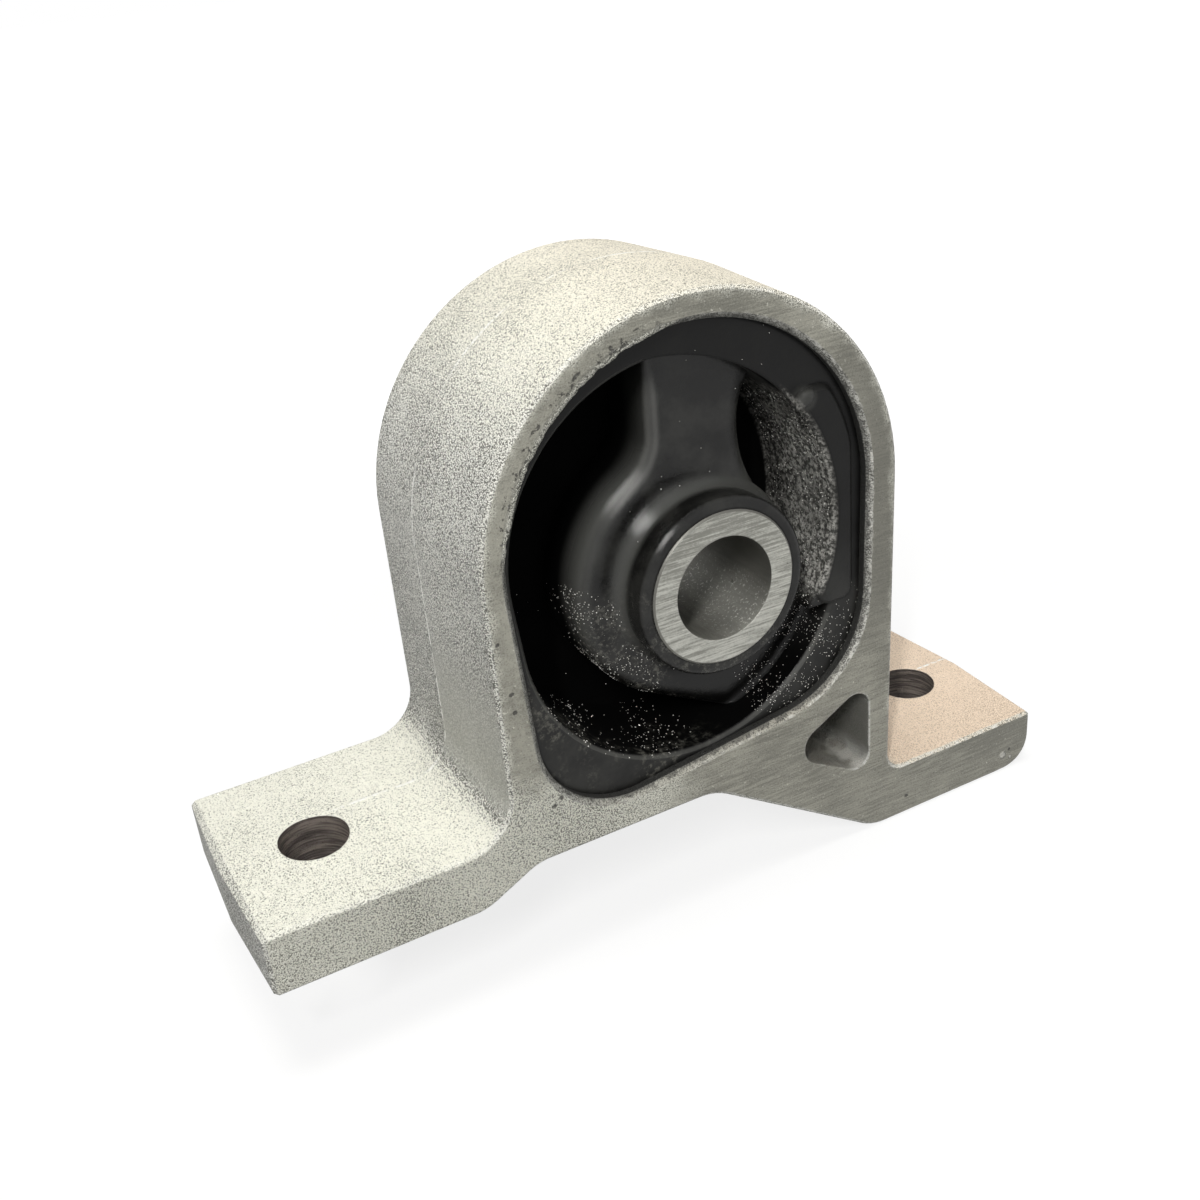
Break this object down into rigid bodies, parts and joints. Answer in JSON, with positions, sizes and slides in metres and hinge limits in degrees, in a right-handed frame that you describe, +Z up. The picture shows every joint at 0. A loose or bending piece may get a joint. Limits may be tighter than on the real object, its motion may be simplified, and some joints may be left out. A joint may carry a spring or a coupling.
{
  "type": "engine mount",
  "caption": "Cast aluminium engine mount: an arched ring on stepped bolt-down feet holds a bonded rubber bushing with a steel inner sleeve.",
  "frame": {"origin": "on the axis of the sleeve's bore, halfway through the casting", "axes": "+Y along the sleeve's bore towards the back face, +X along the feet towards the lower foot, +Z up, away from the feet's undersides"},
  "size_m": [0.1454, 0.041, 0.1042],
  "materials": {
    "cast_aluminium": "fine shot-blasted casting grain",
    "rubber": "satin black, dusty",
    "sleeve_steel": "sawn end faces"
  },
  "bodies": {
    "root": {"bracket": "cast_aluminium", "rubber_bushing": "rubber", "inner_sleeve": "sleeve_steel"}
  },
  "joints": []
}
